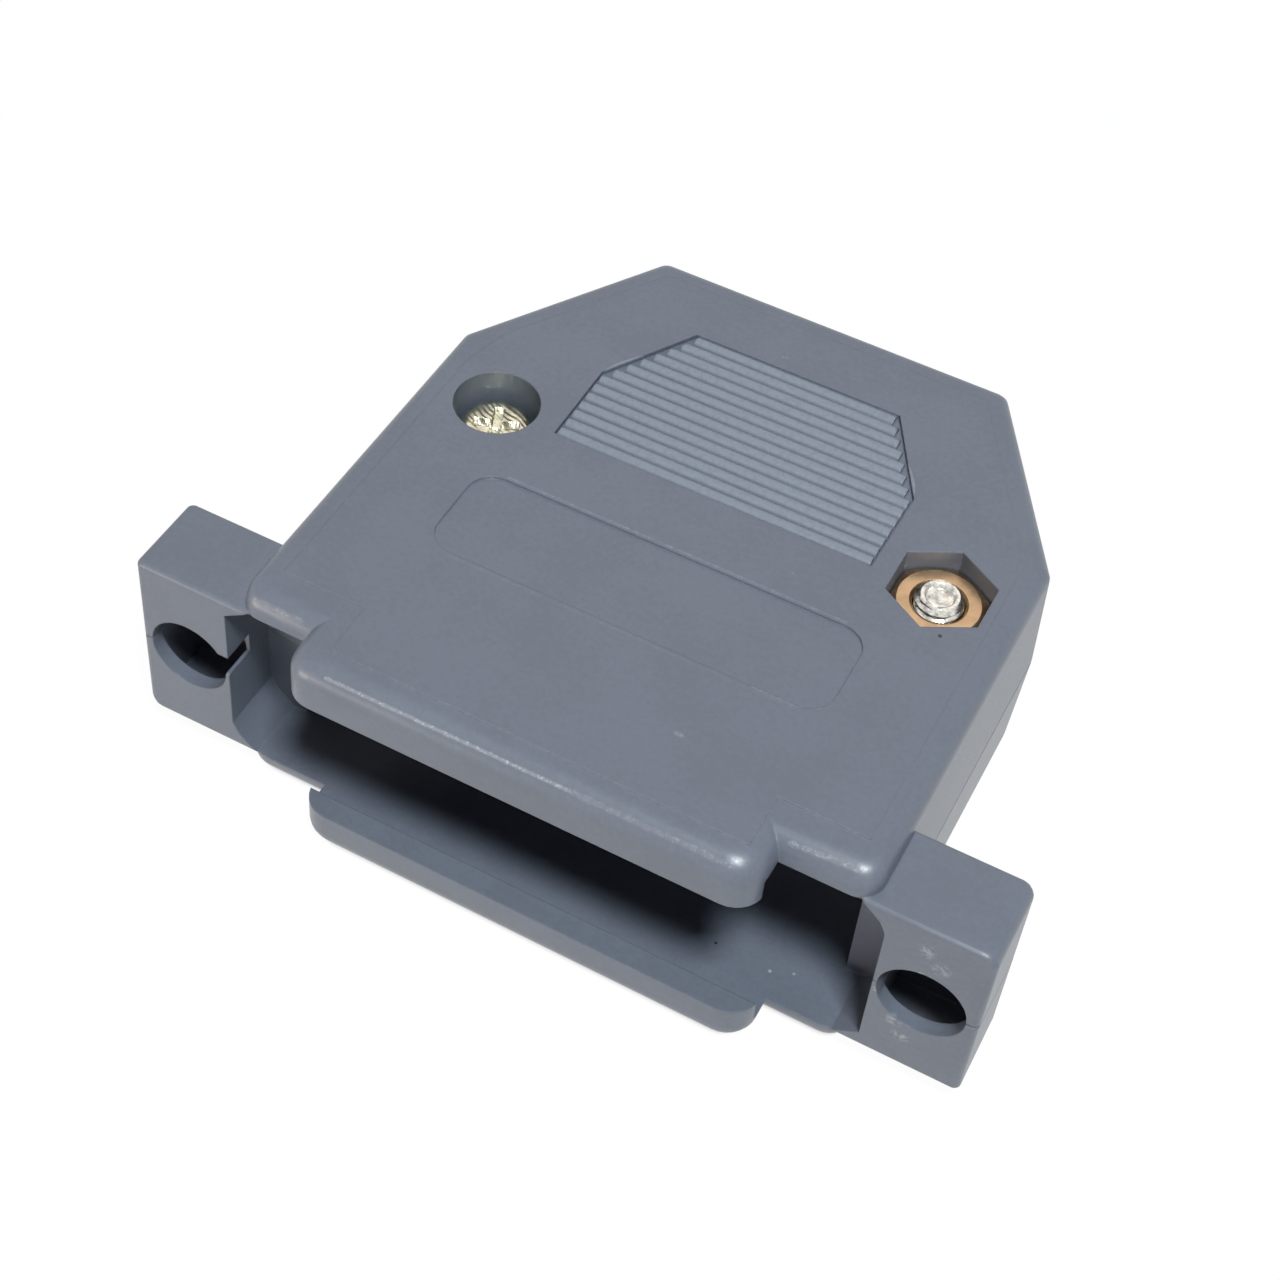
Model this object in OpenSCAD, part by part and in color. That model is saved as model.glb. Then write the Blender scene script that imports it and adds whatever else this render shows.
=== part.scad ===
/* [Connector that the hood fits] */
// Distance between the two long screw holes of the connector
hole_spacing = 47.04; // [40:0.1:60]
// Height of the connector's flange
flange_h = 12.5; // [12:0.1:16]
// Thickness of the gap that holds the flange
flange_gap = 1.5; // [1.2:0.1:2.4]
// Depth of the connector's body behind its flange
connector_depth = 4.2; // [3:0.1:5]
// Height of the opening between the two lips
mouth_h = 9.64; // [9:0.02:11]

/* [Body] */
// Length from the front of the ears to the rear wall
body_len = 38.95; // [38:0.05:52]
// Distance from the front of the ears to where the sides turn inwards
side_len = 25.8; // [25:0.1:30]
// Half width of the rear wall
rear_half = 12.25; // [12:0.05:15]
// Thickness of the top and bottom
roof_t = 1.75; // [1.6:0.05:3]
// Thickness of the side and rear walls
wall_t = 1.9; // [1.5:0.1:2.2]
// How far the walls lean in from the parting plane to the top
draft = 0.35; // [0:0.05:0.8]
// Rounding of the top edge along the sides and rear
side_edge_r = 0.95; // [0.5:0.05:1.5]
// Rounding of the top edge along the front
front_edge_r = 1.55; // [1:0.05:1.6]
// Rounding of the front corners seen from above
front_corner_r = 1.6; // [0.8:0.1:2.5]
// Rounding of the other corners seen from above
rear_corner_r = 0.9; // [0.5:0.1:2]
// Height that the flat middle of the top stands above its rim
crown_h = 0.06; // [0.03:0.01:0.2]
// Width of the rim around the flat middle along the sides and rear
crown_side_in = 1.9; // [1.8:0.05:3]
// Width of the rim along the front
crown_front_in = 2.55; // [2:0.05:3]
// Width of the rim along the front of the lip
crown_lip_in = 1.9; // [1.8:0.05:3]
// Half width of the flat middle where it runs out onto the lip
crown_lip_half = 12.85; // [10:0.05:13]
// Bevel along the edge where the two shells meet
seam_bevel = 0.12; // [0.05:0.01:0.3]

/* [Lip] */
// Reach to the left of the lip in front of the flange
lip_left = 15.1; // [13:0.05:16]
// Reach to the right of that lip
lip_right = 14.25; // [13:0.05:16]
// Thickness of the lip from front to back
lip_t = 1.45; // [1.2:0.05:2.4]
// Rounding of the lip's corners seen from above
lip_corner_r = 1.85; // [1.6:0.05:2.5]

/* [Ears] */
// Thickness of an ear from front to back
ear_depth = 5.65; // [5:0.05:7]
// Distance from a hole's centre to the outer side of its ear
ear_reach = 3.3; // [3.3:0.05:5]
// Step from the top of the body down to the top of an ear
ear_step = 1.65; // [1.2:0.05:2.4]
// Radius of the hole for the long screw
ear_hole_r = 2.6; // [2:0.01:2.7]
// Thickness of an ear's front wall
ear_front_t = 0.95; // [0.8:0.05:1.9]
// Thickness of an ear's rear wall and top
ear_wall = 1.2; // [1:0.1:1.9]
// Rounding of the outer edge of the left ear
ear_left_r = 0.3; // [0.2:0.1:1.2]
// Rounding of the outer edge of the right ear
ear_right_r = 0.9; // [0.2:0.1:1.2]
// Web between the hole and the room for the connector's body
ear_web = 0.22; // [0.15:0.01:0.4]

/* [Case screws] */
// Distance from the front of the ears to the case screws
case_screw_y = 20.9; // [18:0.1:22]
// Distance from a case screw to the side of the body
case_screw_inset = 5.37; // [5.2:0.01:6.5]
// Radius of the round pocket for the screw head
head_pocket_r = 2.7; // [2.4:0.05:3.2]
// Height of the head's seat above the parting plane
head_seat = 4.4; // [2:0.05:5]
// Radius of the round pocket's screw head
head_r = 2.3; // [2:0.05:2.9]
// Height of the screw head
head_h = 1.9; // [1.2:0.1:2.4]
// Height of the nut's seat above the parting plane
nut_seat = 4.6; // [2:0.05:5]
// Width of the nut across its flats
nut_af = 5.5; // [5:0.1:5.5]
// Thickness of the nut
nut_h = 2.4; // [1.8:0.1:2.5]
// Width of the nut's pocket across its flats
nut_pocket_af = 5.75; // [5.6:0.05:6.2]
// Radius of the screw thread
thread_r = 1.5; // [1.2:0.05:1.5]
// Length of a case screw under its head
case_screw_len = 12; // [10:0.5:14]
// Radius of the boss around a case screw
boss_r = 4.6; // [4.2:0.1:5]

/* [Cable clamp] */
// Radius of the cable outlet
outlet_r = 3.75; // [3.2:0.05:4.2]
// Wall of the collar around the cable outlet
collar_wall = 1.25; // [1:0.05:1.8]
// Length that the collar stands out of the rear wall
collar_len = 2.55; // [1.5:0.05:4]
// Radius of the cable that the saddles take
cable_r = 3.5; // [2.5:0.1:3.6]
// Thickness of the saddles' steel strip
strip_t = 1.0; // [0.8:0.1:1.2]
// Width of the saddles' steel strip
strip_w = 6.0; // [5:0.1:6.5]
// Distance from the cable to a clamp screw
clamp_screw_x = 8.1; // [7.9:0.1:8.4]
// Gap between the two saddles at their screws
saddle_gap = 1.5; // [0.8:0.1:2]
// Length of a clamp screw under its head
clamp_screw_len = 6; // [5:0.5:7]
// Thickness of the ribs that hold the saddles
rib_t = 1.2; // [0.8:0.1:1.6]

/* [Top surface] */
// Half width of the label recess
label_half = 12.7; // [8:0.1:14]
// Distance from the front of the ears to the label recess
label_y = 8.74; // [7:0.02:10]
// Depth of the label recess from front to back
label_len = 6.74; // [4:0.02:7.5]
// Rounding of the label recess
label_r = 1.7; // [0.5:0.1:2.5]
// How deep the label recess is sunk
label_sink = 0.15; // [0.05:0.01:0.3]
// Half width of the grip along its front edge
grip_front_half = 10.5; // [8:0.05:11]
// Half width of the grip where it is widest
grip_half = 10.55; // [8:0.05:11]
// Half width of the grip along its rear edge
grip_rear_half = 7.0; // [4:0.1:8]
// Distance from the front of the ears to the grip
grip_y = 20.43; // [18:0.01:21]
// Distance from the grip's front edge to where it is widest
grip_side_len = 6.3; // [4:0.05:8]
// Number of ridges in the grip
ridge_count = 14; // [6:1:16]
// Distance from one ridge to the next
ridge_pitch = 0.893; // [0.6:0.001:0.95]
// Width of a ridge at its foot
ridge_w = 0.86; // [0.4:0.01:0.88]
// How far the crest of a ridge lies behind its middle
ridge_lean = 0.1; // [0:0.01:0.15]
// Depth of the grip's floor
grip_sink = 0.35; // [0.1:0.01:0.6]
// Gap between the ends of the ridges and the sides of the grip
ridge_end_gap = 0.15; // [0.1:0.05:0.6]

/* [Fits] */
// Clearance around the connector's flange
flange_clear = 0.1; // [0.05:0.01:0.3]
// Clearance between pieces that slip into each other
slip_clear = 0.15; // [0.1:0.01:0.3]

/* [Hidden] */
$fn = 48;
leaf = 0.02;
cut_over = 1;
shell_color = "#7a808c";
steel_color = "#c9c6b8";
brass_color = "#b08a5c";

// Heights above the parting plane
room_h = flange_h / 2 + flange_clear;
half_h = room_h + roof_t;
crown_z = half_h - crown_h;
ear_h = half_h - ear_step;

// Places along the width and the length
hole_x = hole_spacing / 2;
cheek_x = hole_x - ear_hole_r - ear_web;
cheek_step = 0.58;
body_half = cheek_x - cheek_step;
ear_x = hole_x + ear_reach;
case_screw_x = body_half - case_screw_inset;
lip_front = -(flange_gap + lip_t);
collar_end = body_len + collar_len;
mid_y = (lip_front + collar_end) / 2;
grip_len = ridge_count * ridge_pitch;

// Slanted side between the straight side and the rear wall
slant_run = body_half - rear_half;
slant_rise = body_len - side_len;
slant_norm = norm([slant_run, slant_rise]);
slant_nx = slant_rise / slant_norm;
slant_ny = slant_run / slant_norm;
slant_d = slant_nx * body_half + slant_ny * side_len;

// Corners of the plan outline, moved in by a distance from every wall
function shoulder_corner(d) =
    [body_half - d, (slant_d - d - slant_nx * (body_half - d)) / slant_ny];
function rear_corner(d) =
    [(slant_d - d - slant_ny * (body_len - d)) / slant_nx, body_len - d];

// How far a rounded top edge has moved in at a height
function edge_in(z, top, r) =
    let (rise = z - (top - r)) rise <= 0 ? 0 : r - sqrt(max(0, r * r - rise * rise));
function draft_in(z) = draft * z / half_h;
function bevel_in(z) = max(0, seam_bevel - z);

// Heights of the slices that make a rounded top
function slice_heights(top, r) =
    concat([0, seam_bevel], [for (a = [0:15:90]) top - r * (1 - sin(a))]);

// Saddles and their screws
strip_y = body_len - wall_t - slip_clear - strip_w / 2;
tab_z = saddle_gap / 2;
arch_r = cable_r + strip_t;
clamp_head_r = 2.8;
clamp_head_h = 2.2;
thread_clear = 0.05;
shank_clear = 0.15;

// Small features of the shells
peg_inset = 0.9;
peg_x = body_half - wall_t - peg_inset;
peg_y = 12;
peg_r = 0.9;
peg_len = 1.2;
peg_post_r = 1.7;
ear_face_r = 0.3;
ear_corner_r = 0.4;
room_left = [1.6, 1.05];
room_right = [[0, 1.9], [0.4, 1.05], [1.6, 0]];
pad_half = 2;
least_r = 0.25;
crown_cut = 1.6;
cheek_t = 0.45;
head_edge = 0.5;
screw_tip = 0.35;
screw_turn = 20;
nut_bevel = 0.25;
nut_bevel_angle = 30;
nut_sink_r = 1.75;
wing_share = 0.55;
slot_share = 0.2;
recess_share = 0.5;
collar_round_r = 0.5;
ridge_under = 0.02;
ridge_step = 20;
web_notch_len = 2.2;
web_notch_h = 1.5;

module place() {
    translate([0, -mid_y, half_h]) children();
}

// Both ends of a pair, left and right
module both_sides() {
    for (side = [-1, 1]) {
        scale_x(side) children();
    }
}

module scale_x(side) {
    if (side < 0) {
        mirror([1, 0, 0]) children();
    } else {
        children();
    }
}

module disc(x, y, z, r) {
    translate([x, y, z]) cylinder(r = max(r, least_r), h = leaf, $fn = 28);
}

// One level of the body, rounded at its six corners
module body_slice(z, side_in, front_in) {
    front_r = front_corner_r - side_in / 2;
    back_r = rear_corner_r - side_in / 4;
    shoulder = shoulder_corner(side_in + back_r);
    rear = rear_corner(side_in + back_r);
    both_sides() {
        disc(body_half - side_in - front_r, front_in + front_r, z, front_r);
        disc(shoulder[0], shoulder[1], z, back_r);
        disc(rear[0], rear[1], z, back_r);
    }
}

module body_skin() {
    hull() {
        for (z = slice_heights(crown_z, front_edge_r)) {
            side_in = bevel_in(z) + draft_in(z) + edge_in(z, crown_z, side_edge_r);
            body_slice(z, side_in, bevel_in(z) + edge_in(z, crown_z, front_edge_r));
        }
    }
}

// One level of the lip, which runs back under the top
module lip_slice(z, edge) {
    r = lip_corner_r - edge / 2;
    for (end = [[-1, lip_left], [1, lip_right]]) {
        disc(end[0] * (end[1] - edge - r), lip_front + edge + r, z, r);
        disc(end[0] * (end[1] - edge - least_r), crown_front_in, z, least_r);
    }
}

module lip_skin() {
    hull() {
        lip_slice(mouth_h / 2, 0);
        for (z = slice_heights(crown_z, front_edge_r)) {
            if (z > mouth_h / 2) {
                lip_slice(z, edge_in(z, crown_z, front_edge_r));
            }
        }
    }
}

// Flat middle of the top of body and lip, a hair above the rim
module crown() {
    half = body_half - crown_side_in;
    shoulder = shoulder_corner(crown_side_in);
    along = [-slant_run, slant_rise] / slant_norm;
    right = [
        [crown_lip_half, lip_front + crown_lip_in], [crown_lip_half, crown_front_in],
        [half, crown_front_in], [half, shoulder[1] - crown_cut],
        shoulder + crown_cut * along, rear_corner(crown_side_in)
    ];
    left = [for (i = [len(right) - 1:-1:0]) [-right[i][0], right[i][1]]];
    translate([0, 0, crown_z - leaf]) linear_extrude(crown_h + leaf)
        polygon(concat(right, left));
}

// One level of an ear
module ear_slice(z, out_in, face_in) {
    r = ear_corner_r;
    for (y = [face_in + r, ear_depth - face_in - r]) {
        disc(ear_x - out_in - r, y, z, r);
        disc(body_half - wall_t, y, z, r);
    }
}

module ear_skin(edge_r) {
    top = ear_h - leaf;
    hull() {
        for (z = slice_heights(top, max(edge_r, ear_face_r))) {
            face_in = bevel_in(z) + edge_in(z, top, ear_face_r);
            ear_slice(z, bevel_in(z) + edge_in(z, top, edge_r), face_in);
        }
    }
}

// Half of the collar around the cable outlet, rounded at its end
module collar_skin() {
    outer = outlet_r + collar_wall;
    edge = collar_round_r;
    translate([0, body_len, 0]) rotate([90, 0, 180]) rotate_extrude(angle = 180) {
        difference() {
            translate([0, -wall_t]) square([outer, collar_len + wall_t]);
            translate([outer - edge, collar_len - edge]) difference() {
                square(edge + leaf);
                circle(r = edge);
            }
        }
    }
}

// Room for the connector's body and the flange in front of it
module connector_room() {
    right = [for (step = room_right) [cheek_x - step[0], room_h - step[1]]];
    left = [[room_left[0] - cheek_x, room_h], [-cheek_x, room_h - room_left[1]]];
    sill = [[-cheek_x, -cut_over], [cheek_x, -cut_over]];
    translate([0, connector_depth, 0]) rotate([90, 0, 0])
        linear_extrude(connector_depth + flange_gap) polygon(concat(right, left, sill));
}

// Room behind it for the wires
module wire_room() {
    shoulder = shoulder_corner(wall_t);
    rear = rear_corner(wall_t);
    half = shoulder[0];
    front = connector_depth - leaf;
    translate([0, 0, -cut_over]) linear_extrude(room_h + cut_over) polygon([
        [-half, front], [half, front], shoulder, rear,
        [-rear[0], rear[1]], [-shoulder[0], shoulder[1]]
    ]);
}

// Hollow of an ear and the hole through its front and rear walls
module ear_hollow() {
    inner_x = cheek_x + cheek_t;
    outer_x = hole_x + ear_hole_r;
    length = ear_depth - ear_front_t - ear_wall;
    translate([inner_x, ear_front_t, -cut_over])
        cube([outer_x - inner_x, length, ear_h - ear_wall + cut_over]);
    translate([hole_x, ear_depth + cut_over, 0]) rotate([90, 0, 0])
        cylinder(r = ear_hole_r, h = ear_depth + 2 * cut_over);
}

module case_bosses() {
    for (side = [-1, 1]) {
        translate([side * case_screw_x, case_screw_y, 0]) cylinder(r = boss_r, h = room_h + leaf);
    }
}

// Round pocket on the left, hexagonal pocket on the right, and their screw holes
module case_screw_pockets() {
    nut_pocket_r = nut_pocket_af / sqrt(3);
    for (side = [-1, 1]) {
        translate([side * case_screw_x, case_screw_y, -cut_over])
            cylinder(r = thread_r + shank_clear, h = half_h + cut_over);
    }
    translate([-case_screw_x, case_screw_y, head_seat]) cylinder(r = head_pocket_r, h = half_h);
    translate([case_screw_x, case_screw_y, nut_seat]) rotate(90)
        cylinder(r = nut_pocket_r, h = half_h, $fn = 6);
}

// Peg on the right and socket on the left, so that two equal shells find each other
module peg_posts() {
    for (side = [-1, 1]) {
        translate([side * peg_x, peg_y, 0]) cylinder(r = peg_post_r, h = room_h + leaf);
    }
}

module peg() {
    translate([peg_x, peg_y, -peg_len]) cylinder(r = peg_r, h = peg_len + leaf);
}

module peg_socket() {
    socket_len = peg_len + slip_clear;
    translate([-peg_x, peg_y, -leaf]) cylinder(r = peg_r + slip_clear, h = socket_len + leaf);
}

// Rib in front of the saddles and pads that they bear on
module clamp_ribs() {
    half = shoulder_corner(wall_t)[0] + leaf;
    rib_y = strip_y - strip_w / 2 - slip_clear - rib_t;
    pad_z = arch_r + slip_clear;
    intersection() {
        difference() {
            translate([-half, rib_y, 0]) cube([2 * half, rib_t, room_h + leaf]);
            translate([0, rib_y - cut_over, 0]) rotate([-90, 0, 0])
                cylinder(r = arch_r + slip_clear, h = rib_t + 2 * cut_over);
        }
        body_core();
    }
    translate([-pad_half, strip_y - pad_half, pad_z])
        cube([2 * pad_half, 2 * pad_half, room_h - pad_z + leaf]);
}

// The inside of the body with half of its wall, which trims what stands inside
module body_core() {
    shoulder = shoulder_corner(wall_t / 2);
    rear = rear_corner(wall_t / 2);
    linear_extrude(half_h - roof_t / 2) polygon([
        [-shoulder[0], 0], [shoulder[0], 0], shoulder, rear,
        [-rear[0], rear[1]], [-shoulder[0], shoulder[1]]
    ]);
}

module cable_outlet() {
    length = wall_t + collar_len + 2 * cut_over;
    translate([0, body_len - wall_t - cut_over, 0]) rotate([-90, 0, 0])
        cylinder(r = outlet_r, h = length);
}

// Shallow recess where a label goes
module label_recess() {
    half = label_half - label_r;
    translate([0, 0, half_h - label_sink]) linear_extrude(cut_over) {
        translate([-half, label_y]) square([2 * half, label_len]);
        translate([-label_half, label_y + label_r])
            square([2 * label_half, label_len - 2 * label_r]);
        for (x = [-half, half], y = [label_y + label_r, label_y + label_len - label_r]) {
            translate([x, y]) circle(r = label_r);
        }
    }
}

// Half width of the grip at a distance from its front edge
function grip_half_at(y) =
    y < grip_side_len
    ? grip_front_half + (grip_half - grip_front_half) * y / grip_side_len
    : grip_half - (grip_half - grip_rear_half) * (y - grip_side_len) / (grip_len - grip_side_len);

module grip_outline() {
    polygon([for (corner = [
        [-1, 0], [1, 0], [1, grip_side_len], [1, grip_len], [-1, grip_len], [-1, grip_side_len]
    ]) [corner[0] * grip_half_at(corner[1]), grip_y + corner[1]]]);
}

// Rounded section of a ridge, standing on the grip's floor
module ridge_section() {
    crest = grip_sink - ridge_under;
    polygon(concat(
        [[ridge_w / 2, -leaf], [-ridge_w / 2, -leaf]],
        [for (a = [0:ridge_step:180]) [ridge_lean * sin(a) - ridge_w / 2 * cos(a), crest * sin(a)]]
    ));
}

// Straight ridge that ends where its rear foot comes near the sides
module ridge(index) {
    y = (index + 0.5) * ridge_pitch;
    half = grip_half_at(y + ridge_w / 2) - ridge_end_gap;
    translate([-half, grip_y + y, half_h - grip_sink]) rotate([90, 0, 90])
        linear_extrude(2 * half) ridge_section();
}

module grip_recess() {
    difference() {
        translate([0, 0, half_h - grip_sink]) linear_extrude(cut_over) grip_outline();
        for (i = [0:ridge_count - 1]) {
            ridge(i);
        }
    }
}

// Piece of the thin web that has broken out beside the upper shell's left ear hole
module broken_web() {
    translate([-hole_x, -cut_over, -cut_over])
        cube([hole_x - cheek_x + leaf, web_notch_len + cut_over, web_notch_h + cut_over]);
}

module half_shell() {
    difference() {
        union() {
            difference() {
                union() {
                    body_skin();
                    lip_skin();
                    crown();
                    scale_x(-1) ear_skin(ear_left_r);
                    scale_x(1) ear_skin(ear_right_r);
                    collar_skin();
                }
                connector_room();
                wire_room();
            }
            case_bosses();
            peg_posts();
            clamp_ribs();
        }
        both_sides() ear_hollow();
        case_screw_pockets();
        peg_socket();
        cable_outlet();
        label_recess();
        grip_recess();
    }
    peg();
}

module shell_upper() {
    color(shell_color) place() difference() {
        half_shell();
        broken_web();
    }
}

module shell_lower() {
    color(shell_color) place() rotate([0, 180, 0]) half_shell();
}

// Machine screw with a rounded head and a cross recess, its head on top
module screw(length, cap_r, cap_h) {
    difference() {
        rotate_extrude() polygon([
            [0, -length], [thread_r - screw_tip, -length], [thread_r, screw_tip - length],
            [thread_r, 0], [cap_r, 0], [cap_r, cap_h - head_edge], [cap_r - head_edge, cap_h],
            [0, cap_h]
        ]);
        cross_recess(cap_r, cap_h);
    }
}

module cross_recess(cap_r, cap_h) {
    wing = cap_r * wing_share;
    slot = cap_r * slot_share;
    depth = cap_h * recess_share;
    translate([0, 0, cap_h - depth]) {
        translate([-wing, -slot / 2, 0]) cube([2 * wing, slot, depth + cut_over]);
        translate([-slot / 2, -wing, 0]) cube([slot, 2 * wing, depth + cut_over]);
    }
}

// Hexagon nut with bevelled corners, standing on the plane below it
module nut() {
    corner_r = nut_af / sqrt(3);
    bevel_r = nut_af / 2 - nut_bevel;
    slope = corner_r - bevel_r;
    bevel_h = slope * tan(nut_bevel_angle);
    bore_r = thread_r + thread_clear;
    sink_h = nut_sink_r - bore_r;
    difference() {
        intersection() {
            cylinder(r = corner_r, h = nut_h, $fn = 6);
            rotate_extrude() polygon([
                [0, 0], [bevel_r, 0], [corner_r, bevel_h],
                [corner_r, nut_h - bevel_h], [bevel_r, nut_h], [0, nut_h]
            ]);
        }
        rotate_extrude() polygon([
            [0, -leaf], [nut_sink_r + leaf, -leaf], [bore_r, sink_h], [bore_r, nut_h - sink_h],
            [nut_sink_r + leaf, nut_h + leaf], [0, nut_h + leaf]
        ]);
    }
}

module case_screw() {
    translate([-case_screw_x, case_screw_y, head_seat]) rotate(screw_turn)
        screw(case_screw_len, head_r, head_h);
}

module case_nut() {
    translate([case_screw_x, case_screw_y, nut_seat]) rotate(90) nut();
}

module case_screw_left() {
    color(steel_color) place() case_screw();
}

module case_screw_right() {
    color(steel_color) place() rotate([0, 180, 0]) case_screw();
}

module case_nut_right() {
    color(brass_color) place() case_nut();
}

module case_nut_left() {
    color(brass_color) place() rotate([0, 180, 0]) case_nut();
}

// Bent steel strip: an arch over the cable between two flat tabs
module saddle() {
    difference() {
        intersection() {
            translate([0, strip_y + strip_w / 2, 0]) rotate([90, 0, 0])
                linear_extrude(strip_w) saddle_section();
            linear_extrude(arch_r + cut_over) saddle_plan();
        }
        for (side = [-1, 1]) {
            translate([side * clamp_screw_x, strip_y, -cut_over])
                cylinder(r = thread_r + shank_clear, h = arch_r);
        }
    }
}

module saddle_section() {
    reach = clamp_screw_x + strip_w / 2;
    foot_x = sqrt(arch_r * arch_r - tab_z * tab_z) - strip_t / 2;
    difference() {
        union() {
            circle(r = arch_r);
            translate([-reach, tab_z]) square([2 * reach, strip_t]);
        }
        circle(r = cable_r);
        translate([-reach, -arch_r]) square([2 * reach, arch_r + tab_z]);
        translate([-foot_x, -arch_r]) square([2 * foot_x, arch_r]);
    }
}

module saddle_plan() {
    translate([-clamp_screw_x, strip_y - strip_w / 2]) square([2 * clamp_screw_x, strip_w]);
    for (side = [-1, 1]) {
        translate([side * clamp_screw_x, strip_y]) circle(r = strip_w / 2);
    }
}

module clamp_screw_at(side) {
    translate([side * clamp_screw_x, strip_y, tab_z + strip_t])
        screw(clamp_screw_len, clamp_head_r, clamp_head_h);
}

module clamp_nut_at(side) {
    translate([side * clamp_screw_x, strip_y, -(tab_z + strip_t + nut_h)]) nut();
}

module clamp_saddle_upper() {
    color(steel_color) place() saddle();
}

module clamp_saddle_lower() {
    color(steel_color) place() rotate([0, 180, 0]) saddle();
}

module clamp_screw_left() {
    color(steel_color) place() clamp_screw_at(-1);
}

module clamp_screw_right() {
    color(steel_color) place() clamp_screw_at(1);
}

module clamp_nut_left() {
    color(steel_color) place() clamp_nut_at(-1);
}

module clamp_nut_right() {
    color(steel_color) place() clamp_nut_at(1);
}

shell_upper();
shell_lower();
case_screw_left();
case_screw_right();
case_nut_left();
case_nut_right();
clamp_saddle_upper();
clamp_saddle_lower();
clamp_screw_left();
clamp_screw_right();
clamp_nut_left();
clamp_nut_right();
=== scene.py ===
import math

import bmesh
import bpy
from mathutils import Matrix, Vector, noise


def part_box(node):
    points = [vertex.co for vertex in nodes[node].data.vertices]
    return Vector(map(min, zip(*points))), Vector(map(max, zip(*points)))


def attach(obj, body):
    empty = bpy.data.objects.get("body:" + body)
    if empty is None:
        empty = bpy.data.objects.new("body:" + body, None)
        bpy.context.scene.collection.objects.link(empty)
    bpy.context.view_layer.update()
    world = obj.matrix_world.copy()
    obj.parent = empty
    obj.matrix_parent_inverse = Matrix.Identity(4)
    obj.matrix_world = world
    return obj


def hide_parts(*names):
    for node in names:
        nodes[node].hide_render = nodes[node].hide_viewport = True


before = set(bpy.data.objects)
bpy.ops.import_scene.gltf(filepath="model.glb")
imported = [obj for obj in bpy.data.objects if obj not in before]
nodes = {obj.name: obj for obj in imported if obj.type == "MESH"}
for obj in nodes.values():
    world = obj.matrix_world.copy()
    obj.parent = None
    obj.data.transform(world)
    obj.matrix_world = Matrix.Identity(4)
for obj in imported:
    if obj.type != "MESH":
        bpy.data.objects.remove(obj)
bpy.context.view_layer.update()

mm = 0.001


# node helpers

def addNode(tree, kind, place=(0, 0), inputs=None, **settings):
    node = tree.nodes.new(kind)
    node.location = place
    for key, value in settings.items():
        setattr(node, key, value)
    for key, value in (inputs or {}).items():
        node.inputs[key].default_value = value
    return node


def plug(tree, socket, value):  # a socket is linked, anything else is set
    if isinstance(value, bpy.types.NodeSocket):
        tree.links.new(value, socket)
    elif value is not None:
        socket.default_value = value


def mathNode(tree, operation, *values, clamp=False):
    node = addNode(tree, "ShaderNodeMath", operation=operation, use_clamp=clamp)
    for socket, value in zip(node.inputs, values):
        plug(tree, socket, value)
    return node.outputs[0]


def vectorNode(tree, operation, *values):
    node = addNode(tree, "ShaderNodeVectorMath", operation=operation)
    for socket, value in zip(node.inputs, values):
        plug(tree, socket, value)
    return node.outputs["Value"] if operation in ("LENGTH", "DISTANCE", "DOT_PRODUCT") else node.outputs[0]


def rangeNode(tree, value, lowIn, highIn, lowOut=0.0, highOut=1.0):
    node = addNode(tree, "ShaderNodeMapRange", interpolation_type="SMOOTHSTEP", inputs={
        "From Min": lowIn, "From Max": highIn, "To Min": lowOut, "To Max": highOut})
    tree.links.new(value, node.inputs["Value"])
    return node.outputs["Result"]


def mixColour(tree, amount, first, second):
    node = addNode(tree, "ShaderNodeMix", data_type="RGBA")
    for socket, value in ((node.inputs[0], amount), (node.inputs[6], first), (node.inputs[7], second)):
        plug(tree, socket, (*value, 1.0) if isinstance(value, tuple) else value)
    return node.outputs[2]


def noiseNode(tree, coords, size, detail=2.0, roughness=0.5):  # size is one blotch, in metres
    node = addNode(tree, "ShaderNodeTexNoise", inputs={
        "Scale": 1 / size, "Detail": detail, "Roughness": roughness})
    tree.links.new(coords, node.inputs["Vector"])
    return node.outputs["Fac"]


def bumpNode(tree, height, depth, normal=None):
    node = addNode(tree, "ShaderNodeBump", inputs={"Strength": 1.0, "Distance": depth})
    plug(tree, node.inputs["Height"], height)
    plug(tree, node.inputs["Normal"], normal)
    return node.outputs[0]


def highest(tree, masks):  # where masks overlap, the strongest one counts
    total = masks[0]
    for mask in masks[1:]:
        total = mathNode(tree, "MAXIMUM", total, mask)
    return total


def emptyMaterial(name):
    material = bpy.data.materials.new(name)
    material.use_nodes = True
    material.node_tree.nodes.clear()
    return material, material.node_tree


def newMaterial(name):
    material, tree = emptyMaterial(name)
    output = addNode(tree, "ShaderNodeOutputMaterial", (1400, 0))
    shader = addNode(tree, "ShaderNodeBsdfPrincipled", (1100, 0))
    tree.links.new(shader.outputs[0], output.inputs["Surface"])
    coords = addNode(tree, "ShaderNodeTexCoord", (-1600, 0)).outputs["Object"]
    return material, tree, shader, coords


# moulded plastic

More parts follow.
